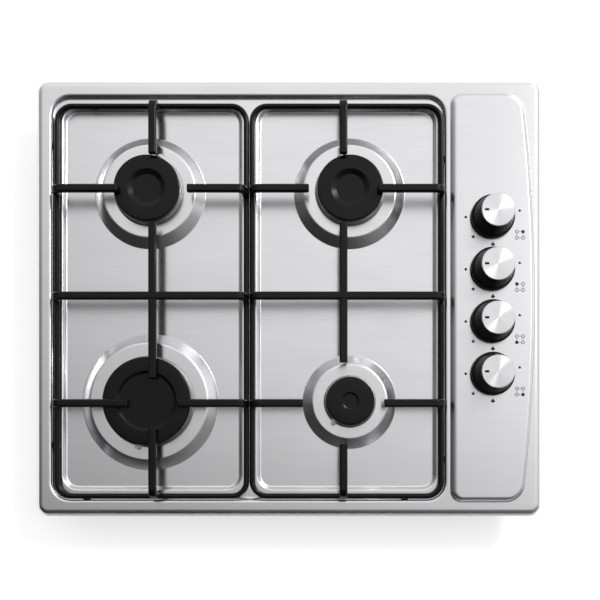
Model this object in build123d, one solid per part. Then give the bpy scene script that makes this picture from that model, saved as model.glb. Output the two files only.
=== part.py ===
from build123d import *
import math
import os

# Built-in gas cooktop with four burners and a control panel on the right.
# Millimetres. X runs to the right, Y to the rear, Z up; Z = 0 is the worktop that the rim rests on,
# and X = Y = 0 is the middle of the rim.

# --- pressed steel top ---
hob_width = 580.0
hob_depth = 500.0
hob_corner = 13.0
sheet = 0.8
rim_height = 8.0
rim_roll = 7.0
hem_width = 8.0
gasket_thickness = 1.5
gasket_margin = 1.0
gasket_width = 7.0

# --- the low field that holds the pan supports, and its two deeper bays ---
control_width = 112.0
field_margin_x = 18.4
field_margin_y = 19.5
field_corner = 20.0
field_drop = 4.2
field_slope = 3.2
cooking_shift = 1.2
bay_margin_x = 8.8
bay_margin_y = 9.5
bay_rib = 16.0
bay_corner = 18.0
bay_drop = 5.3
bay_slope = 5.0
press_top_radius = 2.0
press_foot_radius = 2.6

# --- raised control panel ---
panel_gap = 7.1
panel_edge_gap = 1.2
panel_margin_y = 16.0
panel_bulge = 14.0
panel_corner_left = 13.0
panel_corner_right = 22.0
panel_rise = 4.5
panel_slope = 8.4
panel_top_radius = 7.0
panel_foot_radius = 3.0

# --- burners: side, row, cap radius, mound radius, crown slots, spark plug bearing in degrees ---
burner_offset = 3.2
burner_rear_margin = 98.6
burner_front_margin = 102.2
semi_rapid_cap = 37.5
rapid_cap = 50.0
auxiliary_cap = 27.5
semi_rapid_mound = 64.0
rapid_mound = 78.5
auxiliary_mound = 54.0
semi_rapid_slot_count = 28
rapid_slot_count = 36
auxiliary_slot_count = 20
rear_left_spark_angle = 70.0
rear_right_spark_angle = 106.0
front_left_spark_angle = 257.0
front_right_spark_angle = 232.0
mound_height = 9.0
mound_slope = 8.0
mound_top_radius = 3.0
seat_drop = 1.5
seat_clearance = 1.2
flange_inset = 1.0
flange_thickness = 2.5
cup_inset = 11.0
cup_wall = 3.0
cup_depth = 28.0
cup_hole_clearance = 0.5
crown_inset = 3.5
crown_wall = 4.0
crown_height = 8.5
crown_floor = 2.0
crown_skirt = 6.0
crown_skirt_wall = 2.5
slot_width = 1.8
slot_depth = 5.0
cap_thickness = 4.5
cap_edge_radius = 1.8
cap_lip_depth = 2.0
cap_lip_width = 2.5
cap_lip_gap = 0.6
cap_dish_depth = 1.0
cap_dish_slope = 2.4
cap_dish_inset = 20.0
lift_gap = 0.2
spark_offset = 3.0
spark_radius = 3.0
spark_hole_clearance = 0.4
spark_top = 13.5
spark_bottom = -14.0
spark_tip_radius = 0.8
spark_tip_length = 3.0
spark_collar_radius = 4.4
spark_collar_height = 4.0

# --- gas pipes below the top ---
boss_radius = 9.0
boss_height = 14.0
nipple_radius = 7.0
nipple_reach = 17.0
pipe_radius = 4.0
pipe_wall = 1.0
pipe_clearance = 0.05
pipe_insert = 6.0
pipe_bend = 12.0
pipe_riser_right = 80.4
pipe_riser_left = 56.8
jet_flats = 8.0
jet_height = 5.0
jet_nose_radius = 2.6
jet_nose_height = 4.0
jet_bore = 0.6
jet_shank_length = 4.0
rail_offset = 18.0
rail_z = -18.0
rail_radius = 8.0
rail_wall = 1.5
rail_front_reach = 34.6
rail_rear_gap = 8.0
rail_clearance = 0.1
inlet_margin = 24.0
inlet_thread_radius = 10.48
inlet_bore = 7.0
inlet_body_radius = 12.0
inlet_body_top = -6.0
inlet_arm_wall = 2.0
inlet_arm_length = 18.0
inlet_hole_clearance = 0.5
inlet_end_gap = 1.5
inlet_relief_radius = 9.6
inlet_relief_length = 2.0
saddle_width = 14.0
saddle_front_gap = 1.0
saddle_rear_gap = 30.0

# --- taps and knobs ---
tap_margin = 58.0
tap_pitch = 59.6
tap_count = 4
tap_middle_y = 2.0
tap_width = 24.0
tap_length = 26.0
tap_top = -8.0
tap_bottom = -40.0
tap_lid = 6.0
outlet_z = -30.0
plug_radius = 7.0
plug_clearance = 0.05
plug_top_gap = 0.3
plug_length = 22.0
spindle_radius = 3.0
spindle_clearance = 0.3
spindle_engagement = 9.0
spindle_flat = 1.0
push_travel = 3.5
push_spare = 0.5
knob_skirt_radius = 24.7
knob_skirt_height = 3.0
knob_waist_radius = 22.9
knob_top_radius = 19.4
knob_height = 25.5
knob_gap = 4.0
knob_wall = 2.0
knob_rim = 0.8
knob_hub_radius = 6.5
knob_hub_recess = 3.0
knob_disc_thickness = 1.0
knob_disc_chamfer = 0.3
seal_radius = 8.0
seal_height = 2.0
seal_groove_wall = 1.0
panel_hole_radius = 6.0
switch_width = 10.0
switch_length = 20.0
switch_height = 6.0

# --- pan supports ---
support_side_gap = 1.8
support_front_gap = 0.4
support_rear_gap = 8.0
support_gap = 0.8
support_corner = 17.0
rod_radius = 3.0
foot_height = 1.5
foot_width = 5.0
foot_length = 8.0
foot_corner = 1.0
foot_clearance = 0.05
foot_side_inset = 53.3
foot_side_shift = 8.0
foot_end_inset = 39.8
foot_end_shift = 4.5
spine_inset = 8.0
finger_width = 9.0
finger_height = 7.0
finger_round = 2.2
finger_bend = 8.0
finger_top = 30.5
leg_inset = 1.0
finger_offset = 2.9
tip_round = 1.3
weld_depth = 1.0
semi_rapid_reach = 38.7
rapid_reach = 27.8
auxiliary_reach = 45.6

# --- tray under the worktop ---
tray_margin_x = 20.5
tray_margin_y = 23.0
tray_bottom = -47.0
tray_corner = 8.0
tray_edge_radius = 3.0
notch_width = 44.0
notch_depth = 52.0
notch_rise = 18.0
post_radius = 4.0
post_inset_x = 16.0
post_inset_y = 18.0
post_thread_depth = 12.0
dimple_radius = 9.0
dimple_rise = 3.0
screw_radius = 2.0
screw_head_radius = 3.8
screw_head_height = 2.0
screw_clearance = 0.05
screw_reach = 10.0
clamp_inset_x = 59.5
clamp_inset_y = 27.0
clamp_hole_radius = 2.1
clamp_nut_flats = 8.0
clamp_nut_height = 4.0
module_width = 70.0
module_depth = 38.0
module_height = 24.0
module_offset_x = 82.0
module_rear_gap = 30.0
terminal_width = 46.0
terminal_depth = 24.0
terminal_height = 18.0
terminal_offset_x = 44.4
terminal_rear_gap = 15.0
box_corner = 2.0
grommet_radius = 7.0
grommet_hole = 3.2
grommet_z = -34.0

# --- sizes and places that follow from the ones above ---
field_x = (field_margin_x - control_width) / 2
field_width = hob_width - field_margin_x - control_width
field_depth = hob_depth - 2 * field_margin_y
cooking_x = field_x + cooking_shift
bay_width = (field_width - bay_rib) / 2 - bay_margin_x
bay_depth = field_depth - 2 * bay_margin_y
bay_pitch = bay_width + bay_rib
panel_left = field_x + field_width / 2 + panel_gap
panel_bulge_x = hob_width / 2 - rim_roll - panel_edge_gap
panel_end_x = panel_bulge_x - panel_bulge
panel_half_depth = hob_depth / 2 - panel_margin_y
burner_spread = bay_pitch + 2 * burner_offset
burner_rear_y = bay_depth / 2 - burner_rear_margin
burner_front_y = burner_front_margin - bay_depth / 2
tap_x = hob_width / 2 - tap_margin
tap_first_y = tap_middle_y + (tap_count - 1) * tap_pitch / 2
rail_x = tap_x + rail_offset
support_width = (field_width - support_gap) / 2 - support_side_gap
support_depth = field_depth - support_front_gap - support_rear_gap
support_pitch = support_width + support_gap
support_y = (support_front_gap - support_rear_gap) / 2
finger_row = (burner_rear_y - burner_front_y) / 2
finger_middle_y = (burner_rear_y + burner_front_y) / 2 - finger_offset
tray_width = hob_width - 2 * tray_margin_x
tray_depth = hob_depth - 2 * tray_margin_y
clamp_spacing_x = tray_width - 2 * clamp_inset_x
clamp_spacing_y = tray_depth - 2 * clamp_inset_y
inlet_y = tray_depth / 2 - inlet_margin
rail_front_y = tap_middle_y - (tap_count - 1) * tap_pitch / 2 - rail_front_reach
rail_rear_y = inlet_y - rail_rear_gap
module_x = tap_x - module_offset_x
module_y = tray_depth / 2 - module_rear_gap - module_depth / 2
terminal_x = cooking_x - terminal_offset_x
terminal_y = tray_depth / 2 - terminal_rear_gap - terminal_depth / 2

# --- levels that follow ---
field_z = rim_height - field_drop
floor_z = field_z - bay_drop
mound_z = floor_z + mound_height
seat_z = mound_z - seat_drop
flange_z = seat_z + flange_thickness
crown_z = flange_z + lift_gap
cap_z = crown_z + crown_height + lift_gap
cap_top = cap_z + cap_thickness
cup_z = flange_z - cup_depth
panel_z = rim_height + panel_rise
knob_z = panel_z + knob_gap
knob_top = knob_z + knob_height
tray_top = field_z - sheet
tray_floor = tray_bottom + sheet
foot_z = field_z + lift_gap
rod_z = foot_z + foot_height + rod_radius
below = tray_bottom

semi_rapid = (semi_rapid_cap, semi_rapid_mound, semi_rapid_slot_count)
rapid = (rapid_cap, rapid_mound, rapid_slot_count)
auxiliary = (auxiliary_cap, auxiliary_mound, auxiliary_slot_count)
BURNERS = {
    "rear_left": (-1, burner_rear_y, *semi_rapid, rear_left_spark_angle),
    "rear_right": (1, burner_rear_y, *semi_rapid, rear_right_spark_angle),
    "front_left": (-1, burner_front_y, *rapid, front_left_spark_angle),
    "front_right": (1, burner_front_y, *auxiliary, front_right_spark_angle),
}


def burner_center(side, row_y):
    return cooking_x + side * burner_spread / 2, row_y


def tap_y(number):
    return tap_first_y - number * tap_pitch


def block(width, depth, corner, low, high):
    """An upright slab with rounded corners."""
    return extrude(Plane.XY.offset(low) * RectangleRounded(width, depth, corner), high - low)


def ring(outer, inner, low, high):
    """An upright round ring."""
    profile = Plane.XZ * Pos((outer + inner) / 2, (low + high) / 2) * Rectangle(outer - inner, high - low)
    return revolve(profile, Axis.Z)


def rod(radius, low, high):
    return extrude(Plane.XY.offset(low) * Circle(radius), high - low)


def plug_shape(width, depth, corner, foot, top, slope, foot_radius):
    """The pressing tool for one pocket: it widens upwards from its foot, whose edge is rounded."""
    angle = math.degrees(math.atan2(slope, top - foot))
    outline = Plane.XY.offset(foot) * RectangleRounded(width, depth, corner)
    tool = extrude(outline, top - foot, taper=-angle)
    return fillet(tool.faces().sort_by(Axis.Z)[0].edges(), foot_radius)


def panel_outline(inset):
    """The control panel's foot line, with a right side that bulges outwards."""
    right = ThreePointArc(
        (panel_end_x, -panel_half_depth), (panel_bulge_x, 0), (panel_end_x, panel_half_depth)
    )
    rear = Line((panel_end_x, panel_half_depth), (panel_left, panel_half_depth))
    left = Line((panel_left, panel_half_depth), (panel_left, -panel_half_depth))
    front = Line((panel_left, -panel_half_depth), (panel_end_x, -panel_half_depth))
    face = make_face([right, rear, left, front])
    corners = face.vertices().sort_by(Axis.X)
    face = fillet(corners[:2], panel_corner_left)
    corners = face.vertices().sort_by(Axis.X)
    ends = [v for v in corners if v.X > panel_end_x - 1]
    face = fillet(ends, panel_corner_right)
    return offset(face, -inset) if inset else face


def edges_at(shape, level, half_x, half_y, mid_x=0.0):
    """Edges that lie flat at one level, within a distance of a middle."""
    flat = shape.edges().filter_by_position(Axis.Z, level - 0.01, level + 0.01)
    return [
        e
        for e in flat
        if abs(e.center().X - mid_x) < half_x and abs(e.center().Y) < half_y
    ]


def pressed_form(inset):
    """Everything below one face of the pressed top: its outside for no inset, its underside for one sheet."""
    top = rim_height - inset
    low = field_z - inset
    floor = floor_z - inset
    form = block(hob_width - 2 * inset, hob_depth - 2 * inset, hob_corner - inset, below, top)
    form = fillet(form.faces().sort_by(Axis.Z)[-1].edges(), rim_roll - inset)

    angle = math.degrees(math.atan2(panel_slope, panel_rise))
    foot = top - panel_rise / 2
    spread = panel_slope / 2
    raised = extrude(
        Plane.XY.offset(foot) * offset(panel_outline(inset), spread), panel_rise * 1.5, taper=angle
    )
    raised = fillet(raised.faces().sort_by(Axis.Z)[-1].edges(), panel_top_radius - inset)
    form = form + raised
    middle = (panel_left + panel_bulge_x) / 2
    reach = (panel_bulge_x - panel_left + panel_edge_gap) / 2
    foot_line = edges_at(form, top, reach, panel_half_depth + 1, middle)
    form = fillet(foot_line, panel_foot_radius + inset)

    field = plug_shape(
        field_width + 2 * inset,
        field_depth + 2 * inset,
        field_corner + inset,
        low,
        top,
        field_slope,
        press_foot_radius - inset,
    )
    form = form - Pos(field_x, 0) * field
    reach = field_width / 2 + field_slope + inset + 1
    loop = edges_at(form, top, reach, field_depth / 2 + field_slope + inset + 1, field_x)
    form = fillet(loop, press_top_radius + inset)

    bay = plug_shape(
        bay_width - 2 * bay_slope + 2 * inset,
        bay_depth - 2 * bay_slope + 2 * inset,
        bay_corner - bay_slope + inset,
        floor,
        low,
        bay_slope,
        press_foot_radius - inset,
    )
    for side in (-1, 1):
        form = form - Pos(cooking_x + side * bay_pitch / 2, 0) * bay
    bay_edges = edges_at(form, low, field_width / 2 - press_foot_radius - 1, bay_depth / 2 + inset + 0.5, field_x)
    form = fillet(bay_edges, press_top_radius + inset)

    for side, row_y, cap_r, mound_r, slots, bearing in BURNERS.values():
        x, y = burner_center(side, row_y)
        form = form + Pos(x, y) * mound_form(cap_r, mound_r, inset)
    return form


def mound_form(cap_r, mound_r, inset):
    """One burner's raised collar, with its shallow seat, as a turned shape standing in the floor."""
    top = mound_z - inset
    seat = seat_z - inset
    foot = floor_z - inset
    base_r = mound_r - inset
    top_r = mound_r - mound_slope - inset
    seat_r = cap_r - flange_inset + seat_clearance + inset
    outline = Polyline(
        (0, foot - sheet),
        (base_r, foot - sheet),
        (base_r, foot),
        (top_r, top),
        (seat_r + seat_drop, top),
        (seat_r, seat),
        (0, seat),
        close=True,
    )
    solid = revolve(Plane.XZ * make_face(outline), Axis.Z)
    shoulder = [
        e
        for e in solid.edges().filter_by(GeomType.CIRCLE)
        if abs(e.center().Z - top) < 0.01 and abs(e.radius - top_r) < 0.01
    ]
    return fillet(shoulder, mound_top_radius)


def hob_top():
    """Pressed sheet: rolled rim, field with two bays, four collars and the raised panel."""
    top = pressed_form(0) - pressed_form(sheet)
    hem_z = gasket_thickness
    keep = block(hob_width + 2, hob_depth + 2, hob_corner, hem_z, knob_top)
    inner_field = block(field_width + 2 * field_slope, bay_depth + 2, bay_corner, below, hem_z)
    top = top & (keep + Pos(field_x, 0) * inner_field)
    hem = block(hob_width, hob_depth, hob_corner, hem_z, hem_z + sheet) - block(
        hob_width - 2 * (sheet + hem_width),
        hob_depth - 2 * (sheet + hem_width),
        hob_corner - hem_width,
        hem_z - 1,
        hem_z + 2 * sheet,
    )
    top = top + hem
    for side, row_y, cap_r, mound_r, slots, bearing in BURNERS.values():
        x, y = burner_center(side, row_y)
        top = top - Pos(x, y) * rod(cap_r - cup_inset + cup_hole_clearance, floor_z, mound_z + 1)
        sx, sy = spark_center(x, y, cap_r, bearing)
        hole = rod(spark_collar_radius + spark_hole_clearance, floor_z, mound_z + 1)
        top = top - Pos(sx, sy) * hole
    for number in range(tap_count):
        hole = rod(panel_hole_radius, field_z, panel_z + 1)
        top = top - Pos(tap_x, tap_y(number)) * hole
    return top


def spark_center(x, y, cap_r, bearing):
    reach = cap_r + spark_offset
    turn = math.radians(bearing)
    return x + reach * math.cos(turn), y + reach * math.sin(turn)


def rim_gasket():
    """Foam strip between the rim's hem and the worktop."""
    outer = hob_width - 2 * gasket_margin
    return block(outer, hob_depth - 2 * gasket_margin, hob_corner, 0, gasket_thickness) - block(
        outer - 2 * gasket_width,
        hob_depth - 2 * (gasket_margin + gasket_width),
        hob_corner - gasket_width,
        -1,
        gasket_thickness + 1,
    )


def burner_cup(cap_r, bearing):
    """Die-cast cup: flange on the collar's seat, mixing cup below, gas boss with a side nipple."""
    radius = cap_r - cup_inset
    cup = rod(cap_r - flange_inset, seat_z, flange_z)
    cup = fillet(cup.faces().sort_by(Axis.Z)[-1].edges(), flange_thickness / 3)
    cup = cup + rod(radius, cup_z, flange_z)
    cup = cup - rod(radius - cup_wall, cup_z + cup_wall, flange_z + 1)
    cup = cup + rod(boss_radius, cup_z - boss_height, cup_z + cup_wall)
    side = Plane.YZ * Pos(0, outlet_z) * Circle(nipple_radius)
    cup = cup + extrude(side, nipple_reach)
    pocket = Plane.YZ.offset(nipple_reach - pipe_insert) * Pos(0, outlet_z)
    cup = cup - extrude(pocket * Circle(pipe_radius + pipe_clearance), pipe_insert + 1)
    gas_way = Plane.YZ * Pos(0, outlet_z) * Circle(pipe_radius - pipe_wall)
    cup = cup - extrude(gas_way, nipple_reach)
    cup = cup - rod(screw_radius, outlet_z, cup_z + cup_wall + 1)
    turn = math.radians(bearing)
    reach = cap_r + spark_offset
    spark = rod(spark_collar_radius + spark_hole_clearance, seat_z - 1, flange_z + 1)
    return cup - Pos(reach * math.cos(turn), reach * math.sin(turn)) * spark


def flame_spreader(cap_r, slots):
    """Slotted crown: ring wall with flame slots, floor, and a skirt that locates in the cup."""
    radius = cap_r - crown_inset
    throat = cap_r - cup_inset - cup_wall - pipe_clearance - lift_gap
    crown = ring(radius, radius - crown_wall, crown_z, crown_z + crown_height)
    crown = crown + ring(radius, throat - crown_skirt_wall, crown_z, crown_z + crown_floor)
    crown = crown + ring(throat, throat - crown_skirt_wall, crown_z - crown_skirt, crown_z + crown_floor)
    top = crown_z + crown_height
    slot = Pos(radius - crown_wall / 2, 0, top - slot_depth / 2 + 0.5) * Box(
        crown_wall * 2, slot_width, slot_depth + 1
    )
    return crown - [Rot(0, 0, i * 360 / slots) * slot for i in range(slots)]


def burner_cap(cap_r):
    """Enamelled cap: rounded edge, dished middle and a lip underneath that sits inside the crown."""
    lip = cap_r - crown_inset - crown_wall - cap_lip_gap
    dish = cap_r - cap_dish_inset
    outline = Polyline(
        (0, cap_z),
        (lip - cap_lip_width, cap_z),
        (lip - cap_lip_width, cap_z - cap_lip_depth),
        (lip, cap_z - cap_lip_depth),
        (lip, cap_z),
        (cap_r, cap_z),
        (cap_r, cap_top),
        (dish + cap_dish_slope, cap_top),
        (dish, cap_top - cap_dish_depth),
        (0, cap_top - cap_dish_depth),
        close=True,
    )
    cap = revolve(Plane.XZ * make_face(outline), Axis.Z)
    edge = [
        e
        for e in cap.edges().filter_by(GeomType.CIRCLE)
        if abs(e.center().Z - cap_top) < 0.01 and abs(e.radius - cap_r) < 0.01
    ]
    return fillet(edge, cap_edge_radius)


def spark_plug():
    """Ceramic spark electrode with a metal tip, standing beside its burner."""
    ceramic = rod(spark_radius, spark_bottom, spark_top)
    ceramic = chamfer(ceramic.faces().sort_by(Axis.Z)[-1].edges(), spark_radius / 3)
    ceramic = ceramic + rod(spark_collar_radius, mound_z - spark_collar_height, mound_z - lift_gap)
    return ceramic + rod(spark_tip_radius, spark_top - 1, spark_top + spark_tip_length)


def jet():
    """Brass injector: hexagon, tapered nose and a fine bore, with a shank in the boss."""
    base = cup_z + cup_wall
    hexagon = extrude(Plane.XY.offset(base) * RegularPolygon(jet_flats / 2, 6, major_radius=False), jet_height)
    nose = Pos(0, 0, base + jet_height + jet_nose_height / 2) * Cone(
        jet_nose_radius, jet_nose_radius / 2, jet_nose_height
    )
    shank = rod(screw_radius - screw_clearance, base - jet_shank_length, base)
    bore = rod(jet_bore, base - jet_shank_length, base + jet_height + jet_nose_height)
    return hexagon + nose + shank - bore


def supply_pipe(number, side, row_y):
    """Bent aluminium pipe from one tap's outlet to one burner's nipple."""
    x, y = burner_center(side, row_y)
    start = tap_x - tap_width / 2 - 2 * pipe_clearance
    end = x + nipple_reach - pipe_insert + 2 * pipe_clearance
    riser = x + (pipe_riser_right if side > 0 else pipe_riser_left)
    route = FilletPolyline(
        (start, tap_y(number), outlet_z),
        (riser, tap_y(number), outlet_z),
        (riser, y, outlet_z),
        (end, y, outlet_z),
        radius=pipe_bend,
    )
    section = Plane(origin=route @ 0, z_dir=route % 0) * (
        Circle(pipe_radius) - Circle(pipe_radius - pipe_wall)
    )
    return sweep(section, route)


def gas_rail():
    """Rail that feeds the four taps, closed at its front end."""
    plane = Plane(origin=(rail_x, rail_front_y, rail_z), z_dir=(0, 1, 0))
    length = rail_rear_y - rail_front_y
    tube = extrude(plane * Circle(rail_radius), length)
    bore = Plane(origin=(rail_x, rail_front_y + 2 * rail_wall, rail_z), z_dir=(0, 1, 0))
    return tube - extrude(bore * Circle(rail_radius - rail_wall), length)


def inlet_elbow():
    """Elbow at the rail's rear end, with the house gas thread pointing down."""
    raised_floor = tray_bottom + notch_rise + sheet
    body = Pos(rail_x, inlet_y) * rod(inlet_body_radius, raised_floor, inlet_body_top)
    body = fillet(body.faces().sort_by(Axis.Z)[-1].edges(), 3.0)
    arm = Plane(origin=(rail_x, inlet_y, rail_z), z_dir=(0, -1, 0))
    body = body + extrude(arm * Circle(rail_radius + inlet_arm_wall), inlet_arm_length)
    thread_top = raised_floor - inlet_relief_length
    body = body + Pos(rail_x, inlet_y) * rod(inlet_relief_radius, thread_top, raised_floor)
    thread = rod(inlet_thread_radius, tray_bottom + inlet_end_gap, thread_top)
    body = body + Pos(rail_x, inlet_y) * thread
    body = body - Pos(rail_x, inlet_y) * rod(inlet_bore, tray_bottom, rail_z)
    pocket = Plane(origin=(rail_x, rail_rear_y, rail_z), z_dir=(0, -1, 0))
    body = body - extrude(pocket * Circle(rail_radius + pipe_clearance), inlet_arm_length)
    way = Plane(origin=(rail_x, inlet_y, rail_z), z_dir=(0, -1, 0))
    return body - extrude(way * Circle(rail_radius - rail_wall), inlet_arm_length)


def rail_saddles():
    """Two blocks on the tray floor that carry the rail."""
    saddles = []
    front = rail_front_y + saddle_front_gap + saddle_width / 2
    rear = tap_first_y + tap_length / 2 + saddle_rear_gap
    for y in (front, rear):
        low = Pos(rail_x, y, (tray_floor + rail_z) / 2)
        saddle = low * Box(2 * rail_radius, saddle_width, rail_z - tray_floor)
        groove = Plane(origin=(rail_x, y - saddle_width, rail_z), z_dir=(0, 1, 0))
        saddle = saddle - extrude(groove * Circle(rail_radius + rail_clearance), 2 * saddle_width)
        saddles.append(saddle)
    return Compound(children=saddles)


def tap_body():
    """Tap: brass block with the plug's bore, a spindle hole, the outlet nipple and the rail's groove."""
    middle = (tap_top + tap_bottom) / 2
    body = Pos(0, 0, middle) * Box(tap_width, tap_length, tap_top - tap_bottom)
    body = fillet(body.edges().filter_by(Axis.Z), 2.0)
    bore_top = tap_top - tap_lid
    body = body - rod(plug_radius + plug_clearance, bore_top - plug_length - plug_top_gap, bore_top)
    body = body - rod(spindle_radius + spindle_clearance, bore_top - 1, tap_top + 1)
    groove = Plane(origin=(rail_x - tap_x, -tap_length, rail_z), z_dir=(0, 1, 0))
    body = body - extrude(groove * Circle(rail_radius + rail_clearance), 2 * tap_length)
    outlet = Plane(origin=(-tap_width / 2, 0, outlet_z), z_dir=(-1, 0, 0))
    body = body + extrude(outlet * Circle(nipple_radius), pipe_insert)
    pocket = Plane(origin=(-tap_width / 2, 0, outlet_z), z_dir=(-1, 0, 0))
    body = body - extrude(pocket * Circle(pipe_radius + pipe_clearance), pipe_insert + 1)
    way = Plane(origin=(0, 0, outlet_z), z_dir=(-1, 0, 0))
    return body - extrude(way * Circle(pipe_radius - pipe_wall), tap_width / 2 + 1)


def tap_plug():
    """Turning plug: cross port at the outlet's level and a round well for the spindle."""
    top = tap_top - tap_lid - plug_top_gap
    plug = rod(plug_radius, top - plug_length + plug_top_gap, top)
    well = spindle_engagement + push_travel + push_spare
    plug = plug - rod(spindle_radius + plug_clearance, top - well, top + 1)
    port = Plane(origin=(0, 0, outlet_z), z_dir=(0, 1, 0))
    return plug - extrude(port * Circle(1.5), plug_radius + 1)


def tap_spindle():
    """Steel spindle with a flat near its top, where the knob grips it."""
    top = knob_top - knob_disc_thickness - knob_wall - lift_gap
    bottom = tap_top - tap_lid - plug_top_gap - spindle_engagement
    spindle = rod(spindle_radius, bottom, top)
    flat_low = knob_z + knob_skirt_height
    cut = Pos(0, spindle_radius, (flat_low + top) / 2 + 1) * Box(
        2 * spindle_radius, 2 * spindle_flat, top - flat_low + 2
    )
    return spindle - cut


def knob():
    """Moulded knob: flared skirt, tapered body open below, hub with a D-shaped hole."""
    seat = knob_top - knob_disc_thickness
    outside = Polyline(
        (0, knob_z),
        (knob_skirt_radius, knob_z),
        (knob_skirt_radius, knob_z + knob_skirt_height * 0.6),
        (knob_skirt_radius - 0.8, knob_z + knob_skirt_height),
        (knob_waist_radius, knob_z + knob_skirt_height),
        (knob_top_radius, knob_top),
        (knob_top_radius - knob_rim, knob_top),
        (knob_top_radius - knob_rim, seat),
        (0, seat),
        close=True,
    )
    body = revolve(Plane.XZ * make_face(outside), Axis.Z)
    inside = Polyline(
        (0, knob_z - 1),
        (knob_waist_radius - knob_wall, knob_z - 1),
        (knob_waist_radius - knob_wall, knob_z + knob_skirt_height),
        (knob_top_radius - knob_wall, seat - knob_wall),
        (0, seat - knob_wall),
        close=True,
    )
    body = body - revolve(Plane.XZ * make_face(inside), Axis.Z)
    hub = rod(knob_hub_radius, knob_z + knob_hub_recess, seat - knob_wall)
    hole_r = spindle_radius + plug_clearance
    hole = rod(hole_r, knob_z - 1, seat - knob_wall)
    flat_low = knob_z + knob_skirt_height
    flat = spindle_radius - spindle_flat + plug_clearance
    keep = Pos(0, flat + hole_r / 2, (flat_low + seat) / 2) * Box(2 * hole_r, hole_r, seat - flat_low)
    return body + (hub - (hole - keep))


def knob_disc():
    """Spun aluminium disc let into the knob's top."""
    radius = knob_top_radius - knob_rim - pipe_clearance
    disc = rod(radius, knob_top - knob_disc_thickness, knob_top)
    return chamfer(disc.faces().sort_by(Axis.Z)[-1].edges(), knob_disc_chamfer)


def knob_seal():
    """Rubber ring in the panel hole round the spindle."""
    inner = spindle_radius + spindle_clearance
    seal = ring(seal_radius, inner, panel_z, panel_z + seal_height)
    neck = ring(panel_hole_radius - pipe_clearance, inner, panel_z - sheet, panel_z)
    return seal + neck + ring(seal_radius, inner, panel_z - sheet - seal_groove_wall, panel_z - sheet)


def support_bar(start, end, start_form, end_form):
    """One round-edged bar at pan height: a leg bends down to the frame rod, a tip is rounded, a weld is plain."""
    level = finger_top - finger_height / 2
    first = Vector(*start)
    last = Vector(*end)
    along = (last - first).normalized()
    points = []
    if start_form == "leg":
        points.append((first.X, first.Y, rod_z))
    points.append((first.X, first.Y, level))
    points.append((last.X, last.Y, level))
    if end_form == "leg":
        points.append((last.X, last.Y, rod_z))
    if len(points) > 2:
        route = FilletPolyline(*points, radius=finger_bend)
    else:
        route = Line(*points)
    across = along.cross(Vector(0, 0, 1))
    section_plane = Plane(origin=route @ 0, x_dir=across, z_dir=route % 0)
    section = section_plane * RectangleRounded(finger_width, finger_height, finger_round)
    bar = sweep(section, route)
    for point, form in ((first, start_form), (last, end_form)):
        if form == "tip":
            tip = [
                f
                for f in bar.faces()
                if (f.center() - Vector(point.X, point.Y, level)).length < 0.5
            ]
            bar = fillet(tip[0].edges(), tip_round)
    return bar


def pan_support(side):
    """Frame rod with rounded corners and nine bars at pan height, joined as one welding."""
    half_x = support_width / 2 - rod_radius
    half_y = support_depth / 2 - rod_radius
    route = RectangleRounded(2 * half_x, 2 * half_y, support_corner).wire()
    route = Pos(0, 0, rod_z) * route
    start = Plane(origin=route @ 0, z_dir=route % 0)
    frame = sweep(start * Circle(rod_radius), route)
    leg_x = half_x - leg_inset
    leg_y = half_y - leg_inset
    spine = -side * (spine_inset - (burner_spread - support_pitch) / 2)
    rear = semi_rapid_reach
    front = rapid_reach if side < 0 else auxiliary_reach
    weld = finger_width / 2 - weld_depth
    middle = finger_middle_y - support_y
    rear_row = middle + finger_row
    front_row = middle - finger_row
    bars = [
        support_bar((-leg_x, middle), (leg_x, middle), "leg", "leg"),
        support_bar((spine, leg_y), (spine, rear_row + rear), "leg", "tip"),
        support_bar((spine, rear_row - rear), (spine, middle + weld), "tip", "weld"),
        support_bar((spine, front_row + front), (spine, middle - weld), "tip", "weld"),
        support_bar((spine, -leg_y), (spine, front_row - front), "leg", "tip"),
    ]
    for row, reach in ((rear_row, rear), (front_row, front)):
        for end in (-1, 1):
            bars.append(support_bar((end * leg_x, row), (spine + end * reach, row), "leg", "tip"))
    whole = frame
    for bar in bars:
        whole = whole + bar
    return Pos(cooking_x + side * support_pitch / 2, support_y) * whole


def support_feet(side):
    """Six rubber feet moulded under the frame rod."""
    half_x = support_width / 2 - rod_radius
    half_y = support_depth / 2 - rod_radius
    end_x = support_width / 2 - foot_end_inset
    side_y = support_depth / 2 - foot_side_inset
    places = []
    for end in (-1, 1):
        places.append((side * end_x + end * foot_end_shift, end * half_y, 0))
        places.append((end * half_x, side_y - side * foot_side_shift, 90))
        places.append((end * half_x, -side_y - side * foot_side_shift, 90))
    high = rod_z - foot_z
    foot = Pos(0, 0, foot_z + high / 2) * Box(foot_length, foot_width, high)
    foot = fillet(foot.edges().filter_by(Axis.Z), foot_corner)
    channel = Plane(origin=(-foot_length, 0, rod_z), z_dir=(1, 0, 0)) * Circle(rod_radius + foot_clearance)
    foot = foot - extrude(channel, 2 * foot_length)
    middle_x = cooking_x + side * support_pitch / 2
    return Compound(
        children=[Pos(middle_x + x, support_y + y) * Rot(0, 0, turn) * foot for x, y, turn in places]
    )


def post_places():
    reach = (bay_pitch + bay_width) / 2 - post_inset_x
    y = tray_depth / 2 - post_inset_y
    return [(cooking_x + x, end * y) for x in (-reach, reach) for end in (-1, 1)]


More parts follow.
